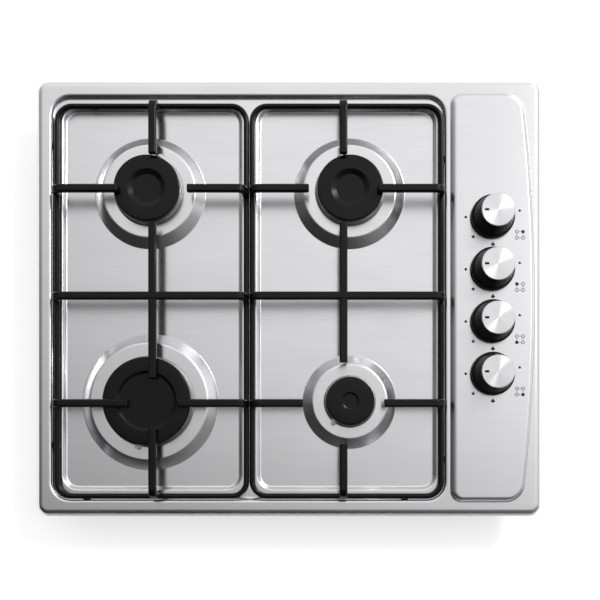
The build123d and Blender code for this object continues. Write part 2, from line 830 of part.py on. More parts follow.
def tray_form(inset):
    """The tray's outside for no inset, and its hollow for one sheet."""
    low = tray_bottom + inset
    form = block(tray_width - 2 * inset, tray_depth - 2 * inset, tray_corner - inset, low, tray_top)
    form = fillet(form.faces().sort_by(Axis.Z)[0].edges(), tray_edge_radius - inset)
    notch = Box(2 * (notch_width + inset), 2 * (notch_depth + inset), 2 * (notch_rise + inset))
    form = form - Pos(tray_width / 2, tray_depth / 2, tray_bottom) * notch
    dimple = Pos(0, 0, tray_bottom + (dimple_rise + inset) / 2) * Cone(
        dimple_radius + inset, dimple_radius - dimple_rise + inset, dimple_rise + inset
    )
    return form - [Pos(x, y) * dimple for x, y in post_places()]


def clamp_places():
    x = clamp_spacing_x / 2
    y = clamp_spacing_y / 2
    return [(-x, -y), (x, -y), (-x, y), (x, y)]


def bottom_tray():
    """Folded tray with a stepped corner for the gas thread, screw dimples and clamp holes."""
    tray = tray_form(0) - tray_form(sheet) - block(
        tray_width - 2 * sheet, tray_depth - 2 * sheet, tray_corner - sheet, tray_top - 1, tray_top + 1
    )
    for x, y in clamp_places():
        tray = tray - Pos(x, y) * rod(clamp_hole_radius, tray_bottom - 1, tray_floor + 1)
    for x, y in post_places():
        hole = rod(screw_radius + screw_clearance, tray_bottom, tray_floor + dimple_rise + 1)
        tray = tray - Pos(x, y) * hole
    hole = rod(inlet_thread_radius + inlet_hole_clearance, tray_bottom, tray_floor + notch_rise + 1)
    tray = tray - Pos(rail_x, inlet_y) * hole
    entry = Plane(origin=(terminal_x, tray_depth / 2 - 2 * sheet, grommet_z), z_dir=(0, 1, 0))
    return tray - extrude(entry * Circle(grommet_radius - sheet), 4 * sheet)


def tray_posts():
    """Tapped posts that hang from the bay floors and carry the tray's screws."""
    low = tray_floor + dimple_rise
    high = floor_z - sheet
    hole = rod(screw_radius + screw_clearance, low - 1, low + post_thread_depth)
    post = rod(post_radius, low, high) - hole
    return Compound(children=[Pos(x, y) * post for x, y in post_places()])


def tray_screws():
    """Pan-head screws in the tray's dimples."""
    head_high = tray_bottom + dimple_rise
    head = rod(screw_head_radius, head_high - screw_head_height, head_high)
    head = fillet(head.faces().sort_by(Axis.Z)[0].edges(), screw_head_height / 2)
    screw = head + rod(screw_radius, head_high, tray_floor + dimple_rise + screw_reach)
    return Compound(children=[Pos(x, y) * screw for x, y in post_places()])


def clamp_nuts():
    """Press nuts in the tray floor for the worktop clamps' screws."""
    outline = Plane.XY.offset(tray_floor) * RegularPolygon(clamp_nut_flats / 2, 6, major_radius=False)
    hole = rod(clamp_hole_radius, tray_floor - 1, tray_floor + clamp_nut_height + 1)
    nut = extrude(outline, clamp_nut_height) - hole
    return Compound(children=[Pos(x, y) * nut for x, y in clamp_places()])


def standing_box(width, depth, height, x, y):
    box = Pos(x, y, tray_floor + height / 2) * Box(width, depth, height)
    return fillet(box.edges().filter_by(Axis.Z), box_corner)


def cable_grommet():
    """Rubber grommet in the tray's rear wall beside the terminal block."""
    profile = Polyline(
        (grommet_hole, -2 * sheet),
        (grommet_radius, -2 * sheet),
        (grommet_radius, 0),
        (grommet_radius - sheet, 0),
        (grommet_radius - sheet, sheet),
        (grommet_radius, sheet),
        (grommet_radius, 3 * sheet),
        (grommet_hole, 3 * sheet),
        close=True,
    )
    body = revolve(Plane.XZ * make_face(profile), Axis.Z)
    wall = tray_depth / 2 - sheet
    return Pos(terminal_x, wall, grommet_z) * Rot(-90, 0, 0) * body


def ignition_switches():
    """One microswitch on the front face of each tap."""
    switch = Box(switch_width, switch_height, switch_length)
    switch = fillet(switch.edges().filter_by(Axis.Z), 1.0)
    front = -(tap_length + switch_height) / 2
    high = tap_top - switch_length / 2
    return Compound(
        children=[Pos(tap_x, tap_y(n) + front, high) * switch for n in range(tap_count)]
    )


def grouped(make):
    """One copy of a piece at each burner."""
    return Compound(
        children=[
            Pos(*burner_center(side, row_y)) * make(cap_r, bearing)
            for side, row_y, cap_r, mound_r, slots, bearing in BURNERS.values()
        ]
    )


def spark_at(cap_r, bearing):
    x, y = spark_center(0, 0, cap_r, bearing)
    return Pos(x, y) * spark_plug()


def save(name, shape):
    export_step(shape, os.path.join("parts", name + ".step"))


os.makedirs("parts", exist_ok=True)
save("hob_top", hob_top())
save("rim_gasket", rim_gasket())
save("bottom_tray", bottom_tray())
save("tray_posts", tray_posts())
save("tray_screws", tray_screws())
save("clamp_nuts", clamp_nuts())

tap_of_burner = ("rear_right", "rear_left", "front_left", "front_right")
for name, (side, row_y, cap_r, mound_r, slots, bearing) in BURNERS.items():
    center = Pos(*burner_center(side, row_y))
    save("burner_cup_" + name, center * burner_cup(cap_r, bearing))
    save("flame_spreader_" + name, center * flame_spreader(cap_r, slots))
    save("burner_cap_" + name, center * burner_cap(cap_r))
    save("supply_pipe_" + name, supply_pipe(tap_of_burner.index(name), side, row_y))

save("spark_plugs", grouped(spark_at))
save("jets", grouped(lambda cap_r, bearing: jet()))
save("gas_rail", gas_rail())
save("rail_saddles", rail_saddles())
save("inlet_elbow", inlet_elbow())

for number in range(tap_count):
    place = Pos(tap_x, tap_y(number))
    label = "_%d" % (number + 1)
    save("tap_body" + label, place * tap_body())
    save("tap_plug" + label, place * tap_plug())
    save("tap_spindle" + label, place * tap_spindle())
    save("knob" + label, place * knob())
    save("knob_disc" + label, place * knob_disc())
save("knob_seals", Compound(children=[Pos(tap_x, tap_y(n)) * knob_seal() for n in range(tap_count)]))
save("ignition_switches", ignition_switches())

for side, word in ((-1, "left"), (1, "right")):
    save("pan_support_" + word, pan_support(side))
    save("support_feet_" + word, support_feet(side))

module = standing_box(module_width, module_depth, module_height, module_x, module_y)
save("ignition_module", module)
terminal = standing_box(terminal_width, terminal_depth, terminal_height, terminal_x, terminal_y)
save("terminal_block", terminal)
save("cable_grommet", cable_grommet())
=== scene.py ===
import math

import bmesh
import bpy
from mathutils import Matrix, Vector


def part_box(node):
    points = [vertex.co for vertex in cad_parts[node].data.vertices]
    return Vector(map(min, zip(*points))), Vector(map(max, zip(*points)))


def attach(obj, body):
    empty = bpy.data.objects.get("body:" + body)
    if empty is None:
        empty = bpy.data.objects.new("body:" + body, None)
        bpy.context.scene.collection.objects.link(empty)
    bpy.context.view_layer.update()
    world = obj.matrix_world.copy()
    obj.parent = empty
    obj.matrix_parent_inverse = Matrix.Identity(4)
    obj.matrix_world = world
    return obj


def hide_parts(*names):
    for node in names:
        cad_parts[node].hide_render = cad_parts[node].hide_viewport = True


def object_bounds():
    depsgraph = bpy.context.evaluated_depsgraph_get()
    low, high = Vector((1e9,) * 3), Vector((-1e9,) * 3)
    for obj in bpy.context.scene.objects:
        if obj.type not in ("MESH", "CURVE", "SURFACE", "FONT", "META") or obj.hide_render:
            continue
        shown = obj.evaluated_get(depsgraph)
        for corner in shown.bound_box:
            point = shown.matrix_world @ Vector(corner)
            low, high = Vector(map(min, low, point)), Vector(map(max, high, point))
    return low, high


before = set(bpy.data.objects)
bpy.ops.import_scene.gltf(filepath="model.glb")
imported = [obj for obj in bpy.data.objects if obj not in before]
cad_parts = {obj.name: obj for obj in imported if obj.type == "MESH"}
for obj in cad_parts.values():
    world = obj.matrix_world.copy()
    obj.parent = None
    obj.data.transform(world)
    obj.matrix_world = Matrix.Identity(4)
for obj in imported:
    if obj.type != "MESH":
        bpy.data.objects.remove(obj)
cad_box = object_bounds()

# Camera: 0.9 m over the rim and a little in front of the hob, looking straight down. The lens is
# shifted up over the hob, which keeps its sides parallel in the square frame.
camera_data = bpy.data.cameras.new("camera")
camera_data.sensor_width = 36.0
camera_data.lens = 47.1
camera_data.shift_x = -0.0167
camera_data.shift_y = 0.245
camera = bpy.data.objects.new("camera", camera_data)
camera.location = (0.02405, -0.1709, 0.908)
bpy.context.scene.collection.objects.link(camera)
bpy.context.scene.camera = camera
bpy.context.scene.view_settings.view_transform = "Standard"


# Studio: a room that is pale behind the hob and to its right, dim on the left, and dark in front and
# along its skirting, so the steel shades from light to dark. The floor is white to the eye and in
# the steel, and keeps the hob's shadow.
def add(tree, kind, settings=None, inputs=None):
    """One shader node, with its settings, its values and the sockets that feed it."""
    node = tree.nodes.new(kind)
    for name, value in (settings or {}).items():
        setattr(node, name, value)
    for key, value in (inputs or {}).items():
        if isinstance(value, bpy.types.NodeSocket):
            tree.links.new(value, node.inputs[key])
        else:
            node.inputs[key].default_value = value
    return node


def maths(operation):
    """The settings of a maths node."""
    return {"operation": operation, "use_clamp": False}


world = bpy.data.worlds.new("studio")
bpy.context.scene.world = world
world.use_nodes = True
room = world.node_tree
room.nodes.clear()
towards = add(room, "ShaderNodeTexCoord").outputs["Generated"]
pale_side = (0.63, 0.60, 0)
span = 0.8
facing = add(room, "ShaderNodeVectorMath", {"operation": "DOT_PRODUCT"}, {0: towards, 1: pale_side})
turn = add(room, "ShaderNodeMapRange", inputs={
    "Value": facing.outputs["Value"], "From Min": -span, "From Max": span})
wall = add(room, "ShaderNodeValToRGB", inputs={0: turn.outputs[0]})
wall_tones = (
    (-0.62, 0.09), (-0.45, 0.23), (-0.30, 0.39), (-0.20, 0.49), (-0.08, 0.62), (0.0, 0.80), (0.06, 0.89),
    (0.15, 0.97), (0.70, 1.0))
while len(wall.color_ramp.elements) < len(wall_tones):
    wall.color_ramp.elements.new(0.5)
for element, (reach, tone) in zip(wall.color_ramp.elements, wall_tones):
    element.position = reach / (2 * span) + 0.5
    element.color = (tone, tone, tone, 1)
along = add(room, "ShaderNodeSeparateXYZ", inputs={0: towards})
front = add(room, "ShaderNodeMapRange", inputs={
    "Value": along.outputs["Y"], "From Min": -0.20, "From Max": -0.02, "To Min": 0.22, "To Max": 1.0})
skirting = add(room, "ShaderNodeMapRange", inputs={
    "Value": along.outputs["Y"], "From Min": 0.3, "From Max": 0.9, "To Min": 0.15, "To Max": 0.45})
low = add(room, "ShaderNodeMapRange", inputs={
    "Value": along.outputs["Z"], "From Min": 0.10, "From Max": 0.20,
    "To Min": skirting.outputs[0], "To Max": 1.0})
room_level = 1.08
shade = add(room, "ShaderNodeMath", maths("MULTIPLY"), {0: front.outputs[0], 1: low.outputs[0]})
level = add(room, "ShaderNodeMath", maths("MULTIPLY"), {0: shade.outputs[0], 1: room_level})
lit = add(room, "ShaderNodeBackground", inputs={"Color": wall.outputs[0], "Strength": level.outputs[0]})
add(room, "ShaderNodeOutputWorld", inputs={"Surface": lit.outputs[0]})


def linear(hex_colour):
    """An sRGB colour such as "a0b1c2" as linear red, green, blue and alpha."""
    parts = [int(hex_colour[i:i + 2], 16) / 255 for i in (0, 2, 4)]
    return tuple(v / 12.92 if v <= 0.04045 else ((v + 0.055) / 1.055) ** 2.4 for v in parts) + (1.0,)


def soft_box(name, place, aim, size, power):
    """A square studio light, aimed at a point."""
    data = bpy.data.lights.new(name, "AREA")
    data.shape = "SQUARE"
    data.size = size
    data.energy = power
    lamp = bpy.data.objects.new(name, data)
    lamp.location = place
    lamp.rotation_euler = (Vector(aim) - Vector(place)).to_track_quat("-Z", "Y").to_euler()
    bpy.context.scene.collection.objects.link(lamp)


soft_box("soft_box_rear_right", place=(1.3, 1.2, 1.5), aim=(0, 0, 0), size=0.5, power=22.0)

floor_reach = 4.0
floor_gap = 0.0002
floor_mesh = bpy.data.meshes.new("floor")
floor_shape = bmesh.new()
bmesh.ops.create_grid(floor_shape, x_segments=1, y_segments=1, size=floor_reach)
bmesh.ops.translate(floor_shape, verts=floor_shape.verts, vec=(0, 0, cad_box[0][2] - floor_gap))
floor_shape.to_mesh(floor_mesh)
floor_shape.free()
floor = bpy.data.objects.new("floor", floor_mesh)
bpy.context.scene.collection.objects.link(floor)
ground = bpy.data.materials.new("studio_floor")
ground.use_nodes = True
tree = ground.node_tree
tree.nodes.clear()
matt = add(tree, "ShaderNodeBsdfDiffuse", inputs={"Color": linear("e6e6e6")})
glow = add(tree, "ShaderNodeEmission", inputs={"Color": (1, 1, 1, 1), "Strength": 0.6})
both = add(tree, "ShaderNodeAddShader", inputs={0: matt.outputs[0], 1: glow.outputs[0]})
path = add(tree, "ShaderNodeLightPath")
mirrored = add(tree, "ShaderNodeMath", maths("MAXIMUM"), {
    0: path.outputs["Is Glossy Ray"], 1: path.outputs["Is Transmission Ray"]})
looked_at = add(tree, "ShaderNodeMath", maths("MAXIMUM"), {
    0: path.outputs["Is Camera Ray"], 1: mirrored.outputs[0]})
mixed = add(tree, "ShaderNodeMixShader", inputs={
    0: looked_at.outputs[0], 1: matt.outputs[0], 2: both.outputs[0]})
add(tree, "ShaderNodeOutputMaterial", inputs={"Surface": mixed.outputs[0]})
floor_mesh.materials.append(ground)


# Pressed top: one blank of stainless sheet, deep drawn into the rim, the low field, its two bays,
# the four burner collars and the raised panel. It was brushed from side to side before pressing.
def material(name):
    """A new material's node tree, cleared, with its surface's place in metres."""
    made = bpy.data.materials.new(name)
    made.use_nodes = True
    made.node_tree.nodes.clear()
    place = add(made.node_tree, "ShaderNodeTexCoord").outputs["Object"]
    return made, made.node_tree, place


def scaled(tree, place, x, y, z):
    """Pattern coordinates that run over one unit in x, y and z millimetres."""
    return add(tree, "ShaderNodeMapping", {"vector_type": "POINT"}, {
        "Vector": place, "Scale": (1000 / x, 1000 / y, 1000 / z)}).outputs[0]


def finish(tree, shader):
    """The shader as the material's surface."""
    add(tree, "ShaderNodeOutputMaterial", inputs={"Surface": shader.outputs[0]})


# Stainless steel sheet, brushed: long fine scratches along X, which draw each reflection out
# across the grain, and slow waves left by the rolls. The scratches are drawn 0.9 mm wide to show.
brushed_steel, tree, place = material("stainless_steel_brushed")
scratch = add(tree, "ShaderNodeTexNoise", inputs={
    "Vector": scaled(tree, place, 60, 0.9, 0.9), "Scale": 1.0, "Detail": 4.0, "Roughness": 0.6})
cloud = add(tree, "ShaderNodeTexNoise", inputs={
    "Vector": scaled(tree, place, 90, 35, 35), "Scale": 1.0, "Detail": 2.0})
tone = add(tree, "ShaderNodeMix", {"data_type": "RGBA", "blend_type": "MIX"}, {
    0: scratch.outputs["Fac"], 6: linear("dcdcde"), 7: linear("e9e9eb")})
dull = add(tree, "ShaderNodeMapRange", inputs={
    "Value": cloud.outputs["Fac"], "From Min": 0.3, "From Max": 0.7, "To Min": 0.23, "To Max": 0.27})
dent = add(tree, "ShaderNodeBump", inputs={
    "Height": scratch.outputs["Fac"], "Strength": 0.015, "Distance": 0.0002})
across = add(tree, "ShaderNodeCombineXYZ", inputs={"X": 0.0, "Y": 1.0, "Z": 0.0})
steel = add(tree, "ShaderNodeBsdfPrincipled", inputs={
    "Base Color": tone.outputs[2], "Metallic": 1.0, "Roughness": dull.outputs[0],
    "Anisotropic": 0.8, "Tangent": across.outputs[0], "Normal": dent.outputs[0]})
finish(tree, steel)


def placed(name, shape, body, finishes):
    """The finished mesh as an object that rides on a body."""
    mesh = bpy.data.meshes.new(name)
    shape.to_mesh(mesh)
    shape.free()
    for one in finishes:
        mesh.materials.append(one)
    piece = bpy.data.objects.new(name, mesh)
    bpy.context.scene.collection.objects.link(piece)
    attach(piece, body)
    return piece


def bevelled(start, low_turn, rise, high_turn, tilt, steps=8):
    """A pressed wall's section in millimetres, from its foot up and inwards to its shoulder."""
    tilt = math.radians(tilt)
    points = []
    for k in range(steps + 1):
        a = tilt * k / steps
        points.append((start - low_turn * math.sin(a), low_turn * (1 - math.cos(a))))
    out, up = points[-1]
    straight = rise - up - high_turn * (1 - math.cos(tilt))
    out -= straight / math.tan(tilt) + high_turn * math.sin(tilt)
    for k in range(2 * steps + 1):
        a = tilt * (1 - k / (2 * steps))
        points.append((out + high_turn * math.sin(a), rise - high_turn * (1 - math.cos(a))))
    return points


def box_line(x, y, width, depth, corner, steps=12):
    """A rounded rectangle as points, each with the direction that leads outwards there."""
    line = []
    for sx, sy, first in ((1, 1, 0), (-1, 1, 90), (-1, -1, 180), (1, -1, 270)):
        for k in range(steps + 1):
            a = math.radians(first + 90 * k / steps)
            out_x, out_y = math.cos(a), math.sin(a)
            line.append((x + sx * (width / 2 - corner) + corner * out_x,
                         y + sy * (depth / 2 - corner) + corner * out_y, out_x, out_y))
    return line


def ring_line(x, y, radius, steps=128):
    """A circle as points, each with the direction that leads outwards there."""
    turns = [math.tau * k / steps for k in range(steps)]
    return [(x + radius * math.cos(a), y + radius * math.sin(a), math.cos(a), math.sin(a))
            for a in turns]


def panel_line(left, bulge, sweep, half, left_corner, right_corner, steps=12):
    """The control panel's foot line: straight on the left, bulging on the right."""
    bow = (half ** 2 + sweep ** 2) / (2 * sweep)
    center = bulge - bow
    turn_y = half - right_corner
    turn_x = center + math.sqrt((bow - right_corner) ** 2 - turn_y ** 2)
    lean = math.atan2(turn_y, turn_x - center)
    line = []
    for k in range(1, 2 * steps):
        a = lean * (k / steps - 1)
        line.append((center + bow * math.cos(a), bow * math.sin(a), math.cos(a), math.sin(a)))
    for x, y, radius, first, last in (
            (turn_x, turn_y, right_corner, lean, math.pi / 2),
            (left + left_corner, half - left_corner, left_corner, math.pi / 2, math.pi),
            (left + left_corner, left_corner - half, left_corner, math.pi, math.pi * 1.5),
            (turn_x, -turn_y, right_corner, math.pi * 1.5, math.tau - lean)):
        for k in range(steps + 1):
            a = first + (last - first) * k / steps
            line.append((x + radius * math.cos(a), y + radius * math.sin(a), math.cos(a), math.sin(a)))
    return line


def pressed(shape, line, section, widen=lambda out: 1.0):
    """A wall along a line, with its section's reaches and heights. It gives its first and last edges."""
    rings = []
    for reach, z in section:
        rings.append([])
        for x, y, out_x, out_y in line:
            here = reach * widen(out_x)
            point = ((x + out_x * here) / 1000, (y + out_y * here) / 1000, z / 1000)
            rings[-1].append(shape.verts.new(point))
    for low, high in zip(rings, rings[1:]):
        for i in range(len(line)):
            j = (i + 1) % len(line)
            shape.faces.new((low[i], low[j], high[j], high[i]))
    return [[shape.edges.get((ring[i - 1], ring[i])) for i in range(len(line))]
            for ring in (rings[0], rings[-1])]


def flat(shape, *borders):
    """A level face between border lines, round its holes."""
    edges = [edge for border in borders for edge in border]
    bmesh.ops.triangle_fill(shape, edges=edges, use_beauty=True, use_dissolve=False, normal=(0, 0, 1))


rim_z, field_z, floor_z = 8.0, 3.8, -1.5
mound_z, seat_z, panel_z, hem_z = 7.5, 6.0, 12.5, 1.5
merge_within = 0.000001
top = bmesh.new()

# The rim: a hem folded under, a short upright edge, and the roll up to the flat.
edge_rise = 2.3
hem = [(-8.8, hem_z + 0.8), (-8.8, hem_z), (-0.6, hem_z), (-0.15, hem_z + 0.15), (0, hem_z + 0.6)]
roll = bevelled(start=0, low_turn=0.3, rise=rim_z - hem_z - edge_rise, high_turn=8.6, tilt=43)
rim_section = hem + [(reach, hem_z + edge_rise + height) for reach, height in roll]
rim_line = box_line(x=0, y=0, width=580, depth=500, corner=13)
rim_out = pressed(top, rim_line, rim_section)[1]

# The field, and the two bays let into it, each with its two collars and their cup seats.
field_drop = bevelled(start=4.2, low_turn=4.0, rise=rim_z - field_z, high_turn=3.6, tilt=60)
field_line = box_line(x=-46.8, y=0, width=449.6, depth=461, corner=20)
rim_in, field_out = pressed(top, field_line, [(reach, rim_z - height) for reach, height in field_drop])
bay_drop = bevelled(start=0.3, low_turn=2.2, rise=field_z - floor_z, high_turn=3.0, tilt=66)
collar_rise = bevelled(start=0.5, low_turn=1.2, rise=mound_z - floor_z, high_turn=4.5, tilt=38.5)
pair_x, bay_across, burner_across = -45.6, 112.0, 115.2
rear_row, front_row = 122.4, -118.8
collars = {  # the cap's and the collar's foot radii
    (-1, rear_row): (37.5, 64.0), (1, rear_row): (37.5, 64.0),
    (-1, front_row): (50.0, 78.5), (1, front_row): (27.5, 54.0)}
holes = []
for side in (-1, 1):
    bay_line = box_line(x=pair_x + side * bay_across, y=0, width=208, depth=442, corner=18)
    bay_out, bay_in = pressed(top, bay_line, [(reach, field_z - height) for reach, height in bay_drop])
    holes.append(bay_out)
    feet = []
    for row in (rear_row, front_row):
        cap, foot = collars[side, row]
        section = [(foot + reach, floor_z + height) for reach, height in collar_rise]
        section += [(cap + 2.6, mound_z), (cap + 1.9, mound_z - 0.1), (cap + 0.4, seat_z + 0.1),
                    (cap - 0.3, seat_z), (cap - 10.5, seat_z)]
        collar_line = ring_line(pair_x + side * burner_across, row, radius=0)
        feet.append(pressed(top, collar_line, section)[0])
    flat(top, bay_in, *feet)
flat(top, field_out, *holes)

# The panel, whose wall is steeper on its bulging right side, and the four spindle holes in it.
panel_rise = bevelled(start=0.5, low_turn=0.8, rise=panel_z - rim_z, high_turn=7.0, tilt=43)
bulging_line = panel_line(
    left=185.1, bulge=281.8, sweep=14.0, half=234.0, left_corner=13.0, right_corner=22.0)
panel_section = [(reach, rim_z + height) for reach, height in panel_rise]
panel_foot, panel_in = pressed(top, bulging_line, panel_section, widen=lambda out: 0.88 - 0.12 * out)
flat(top, rim_out, rim_in, panel_foot)
tap_x, first_tap_y, tap_pitch = 232.0, 91.4, 59.6
spindle_section = [(6.4, panel_z), (6.0, panel_z - 0.8)]
taps = []
for k in range(4):
    tap_line = ring_line(tap_x, first_tap_y - tap_pitch * k, radius=0, steps=32)
    taps.append(pressed(top, tap_line, spindle_section)[0])
flat(top, panel_in, *taps)
bmesh.ops.remove_doubles(top, verts=top.verts, dist=merge_within)
bmesh.ops.recalc_face_normals(top, faces=top.faces)
if sum(face.normal.z * face.calc_area() for face in top.faces) < 0:
    bmesh.ops.reverse_faces(top, faces=top.faces)
for face in top.faces:
    face.smooth = True
hob = placed("pressed_top", top, "hob_body", [brushed_steel])
even = hob.modifiers.new("even_flats", "WEIGHTED_NORMAL")
even.mode = "FACE_AREA"
even.weight = 90
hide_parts("hob_top")


# Below the worktop: the foam strip under the rim, and the folded tray with its posts, screws and
# press nuts. The tray is galvanised sheet, whose zinc sets in flat grey spangles.
def plain_finish(name, light, dark, patch, bump, roughness, metallic, specular=0.5):
    """A solid material whose tone, grain and gloss drift over patches of a real size in millimetres."""
    made, tree, place = material(name)
    drift = add(tree, "ShaderNodeTexNoise", inputs={
        "Vector": scaled(tree, place, patch, patch, patch), "Scale": 1.0, "Detail": 5.0})
    tone = add(tree, "ShaderNodeMix", {"data_type": "RGBA", "blend_type": "MIX"}, {
        0: drift.outputs["Fac"], 6: linear(dark), 7: linear(light)})
    dull = add(tree, "ShaderNodeMapRange", inputs={
        "Value": drift.outputs["Fac"], "To Min": roughness - 0.06, "To Max": roughness + 0.06})
    grain = add(tree, "ShaderNodeTexNoise", inputs={
        "Vector": scaled(tree, place, patch / 8, patch / 8, patch / 8), "Scale": 1.0, "Detail": 3.0})
    dent = add(tree, "ShaderNodeBump", inputs={
        "Height": grain.outputs["Fac"], "Strength": bump, "Distance": 0.0002})
    shader = add(tree, "ShaderNodeBsdfPrincipled", inputs={
        "Base Color": tone.outputs[2], "Metallic": metallic, "Roughness": dull.outputs[0],
        "Specular IOR Level": specular, "Normal": dent.outputs[0]})
    finish(tree, shader)
    return made


def dressed(node, body, finishes, sharp=40.0):
    """A merged and smoothly shaded piece with one node's shape, in that node's place."""
    shape = bmesh.new()
    shape.from_mesh(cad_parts[node].data)
    bmesh.ops.remove_doubles(shape, verts=shape.verts, dist=0.00001)
    for face in shape.faces:
        face.smooth = True
        face.material_index = 0
    for edge in shape.edges:
        edge.smooth = len(edge.link_faces) == 2 and edge.calc_face_angle() < math.radians(sharp)
    piece = placed(node + "_piece", shape, body, finishes)
    even = piece.modifiers.new("even_flats", "WEIGHTED_NORMAL")
    even.mode = "FACE_AREA"
    even.weight = 90
    even.keep_sharp = True
    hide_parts(node)
    return piece


foam = plain_finish(
    "polyethylene_foam_cut", light="2c2c2c", dark="181818",
    patch=3.0, bump=0.6, roughness=0.85, metallic=0.0)
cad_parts["rim_gasket"].data.materials.clear()
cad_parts["rim_gasket"].data.materials.append(foam)

galvanised, tree, place = material("steel_galvanised_spangled")
spangle = add(tree, "ShaderNodeTexVoronoi", {"feature": "F1"}, {
    "Vector": scaled(tree, place, 9, 9, 9), "Scale": 1.0})
tone = add(tree, "ShaderNodeMix", {"data_type": "RGBA", "blend_type": "MIX"}, {
    0: spangle.outputs["Color"], 6: linear("aeb3b6"), 7: linear("c6cacc")})
dull = add(tree, "ShaderNodeMapRange", inputs={
    "Value": spangle.outputs["Color"], "To Min": 0.34, "To Max": 0.50})
finish(tree, add(tree, "ShaderNodeBsdfPrincipled", inputs={
    "Base Color": tone.outputs[2], "Metallic": 1.0, "Roughness": dull.outputs[0]}))
for node in ("bottom_tray", "tray_posts", "tray_screws", "clamp_nuts", "gas_rail", "rail_saddles"):
    dressed(node, "hob_body", [galvanised])


# Burners: a die-cast cup hangs in each collar, and its flange shows round the slotted crown that
# stands in it. The enamelled cap lies on the crown, and a ceramic spark plug stands beside it.
cast_alloy = plain_finish(
    "aluminium_die_cast", light="c9c8c5", dark="a9a8a5",
    patch=5.0, bump=0.35, roughness=0.42, metallic=1.0)
drawn_tube = plain_finish(
    "aluminium_tube_drawn", light="d2d2d1", dark="bcbcbb",
    patch=20.0, bump=0.1, roughness=0.32, metallic=1.0)
burners = ("rear_left", "rear_right", "front_left", "front_right")
for burner in burners:
    dressed("burner_cup_" + burner, "hob_body", [cast_alloy])
    dressed("flame_spreader_" + burner, "spreader_" + burner, [cast_alloy])
    dressed("supply_pipe_" + burner, "hob_body", [drawn_tube])

# Vitreous enamel, fired matt black: a smooth glass skin with a faint orange peel.
enamel, tree, place = material("vitreous_enamel_matt_black")
peel = add(tree, "ShaderNodeTexNoise", inputs={
    "Vector": scaled(tree, place, 1.6, 1.6, 1.6), "Scale": 1.0, "Detail": 2.0})
drift = add(tree, "ShaderNodeTexNoise", inputs={
    "Vector": scaled(tree, place, 14, 14, 14), "Scale": 1.0, "Detail": 3.0})
tone = add(tree, "ShaderNodeMix", {"data_type": "RGBA", "blend_type": "MIX"}, {
    0: drift.outputs["Fac"], 6: linear("080808"), 7: linear("101011")})
dull = add(tree, "ShaderNodeMapRange", inputs={
    "Value": drift.outputs["Fac"], "From Min": 0.3, "From Max": 0.7, "To Min": 0.19, "To Max": 0.25})
dent = add(tree, "ShaderNodeBump", inputs={
    "Height": peel.outputs["Fac"], "Strength": 0.08, "Distance": 0.0002})
finish(tree, add(tree, "ShaderNodeBsdfPrincipled", inputs={
    "Base Color": tone.outputs[2], "Roughness": dull.outputs[0], "Normal": dent.outputs[0],
    "Specular IOR Level": 0.2}))


def turned(profile, x, y, steps=96):
    """A lathe shape: a profile of radii and heights in millimetres, spun round an upright axis."""
    shape = bmesh.new()
    points = [shape.verts.new((r / 1000, 0, z / 1000)) for r, z in profile]
    edges = [shape.edges.new(pair) for pair in zip(points, points[1:])]
    bmesh.ops.spin(shape, geom=points + edges, cent=(0, 0, 0), axis=(0, 0, 1),
                   angle=math.tau, steps=steps, use_merge=True)
    bmesh.ops.remove_doubles(shape, verts=shape.verts, dist=merge_within)
    bmesh.ops.recalc_face_normals(shape, faces=shape.faces)
    bmesh.ops.translate(shape, verts=shape.verts, vec=(x, y, 0))
    for face in shape.faces:
        face.smooth = True
    return shape


def rounded(corners, radii, segments=5):
    """A lathe profile whose corners are rounded, each by its own radius in millimetres."""
    points = []
    for i, (corner, radius) in enumerate(zip(corners, radii)):
        here = Vector(corner)
        if radius <= 0 or i in (0, len(corners) - 1):
            points.append(tuple(here))
            continue
        before = Vector(corners[i - 1]) - here
        after = Vector(corners[i + 1]) - here
        half = before.angle(after) / 2
        reach = min(radius / math.tan(half), before.length * 0.49, after.length * 0.49)
        start = here + before.normalized() * reach
        end = here + after.normalized() * reach
        for k in range(segments + 1):
            t = k / segments
            points.append(tuple(start.lerp(here, t).lerp(here.lerp(end, t), t)))
    return points


def center_of(node):
    """The middle of a node, seen from above, in metres."""
    low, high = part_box(node)
    return (low.x + high.x) / 2, (low.y + high.y) / 2


cap_low = 17.4
cap_high = 21.9
lip_inset, lip_width, lip_drop = 8.1, 2.5, 2.0
dishes = {  # the dish's radius at its brim and at its floor, and its depth
    "rear_left": (21.5, 15.8, 2.6), "rear_right": (21.5, 15.8, 2.6), "front_left": (34.0, 31.0, 1.5),
    "front_right": (9.8, 7.9, 1.0)}
cap_radii = [0, 0, 0.3, 0.3, 0, 0.5, 1.8, 1.4, 1.4, 0]
for burner in burners:
    low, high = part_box("burner_cap_" + burner)
    x, y = center_of("burner_cap_" + burner)
    edge = (high.x - low.x) * 1000 / 2
    lip = edge - lip_inset
    brim, dish, deep = dishes[burner]
    corners = [
        (0, cap_low), (lip - lip_width, cap_low), (lip - lip_width, cap_low - lip_drop),
        (lip, cap_low - lip_drop), (lip, cap_low), (edge, cap_low), (edge, cap_high), (brim, cap_high),
        (dish, cap_high - deep), (0, cap_high - deep)]
    pressing = turned(rounded(corners, cap_radii), x, y)
    cap = placed("cap_%s_enamelled" % burner, pressing, "cap_" + burner, [enamel])
    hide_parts("burner_cap_" + burner)

ceramic = plain_finish(
    "alumina_glazed", light="f2efe8", dark="e4e0d6", patch=6.0, bump=0.05, roughness=0.22, metallic=0.0)
dressed("spark_plugs", "hob_body", [ceramic])


